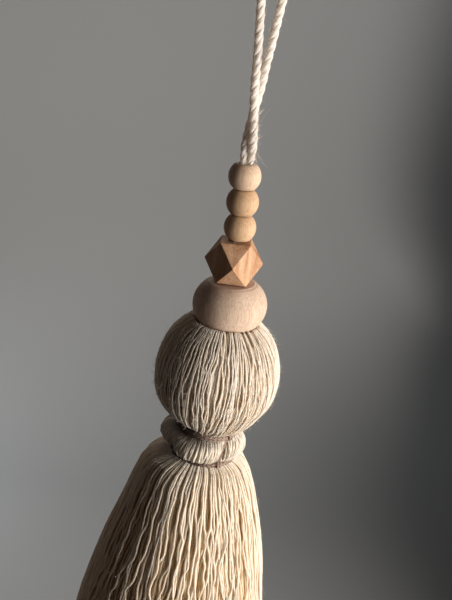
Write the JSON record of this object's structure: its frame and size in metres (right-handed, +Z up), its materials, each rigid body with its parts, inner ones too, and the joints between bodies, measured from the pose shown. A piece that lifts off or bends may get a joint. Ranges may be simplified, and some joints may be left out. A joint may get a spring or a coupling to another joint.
{
  "type": "hanging tassel",
  "caption": "Cotton yarn tassel with a tied ball head and flared skirt, hung from a looped rope threaded through turned and faceted wooden beads.",
  "frame": {"origin": "the point inside the top of the rope loop where a hook or peg bears", "axes": "+Z up along the hanging rope, -Y the front as pictured, +X the viewer's right"},
  "size_m": [0.1179, 0.1176, 0.4283],
  "materials": {
    "cotton_rope": "matt off-white cotton, three strands laid up",
    "round_bead_wood": "bare turned wood, fine grain",
    "faceted_bead_wood": "bare sanded wood, warmer than the rest",
    "large_bead_wood": "bare turned wood, fine grain, pinkish end faces",
    "cotton_yarn": "matt undyed cotton yarn, cream to straw",
    "binding_thread": "taupe-brown waxed thread"
  },
  "bodies": {
    "root": {"hanging_cord": "cotton_rope", "bead_round_top": "round_bead_wood", "bead_round_middle": "round_bead_wood", "bead_round_lower": "round_bead_wood", "bead_faceted": "faceted_bead_wood", "bead_large": "large_bead_wood", "tassel_yarn": "cotton_yarn", "neck_binding": "binding_thread"}
  },
  "joints": []
}
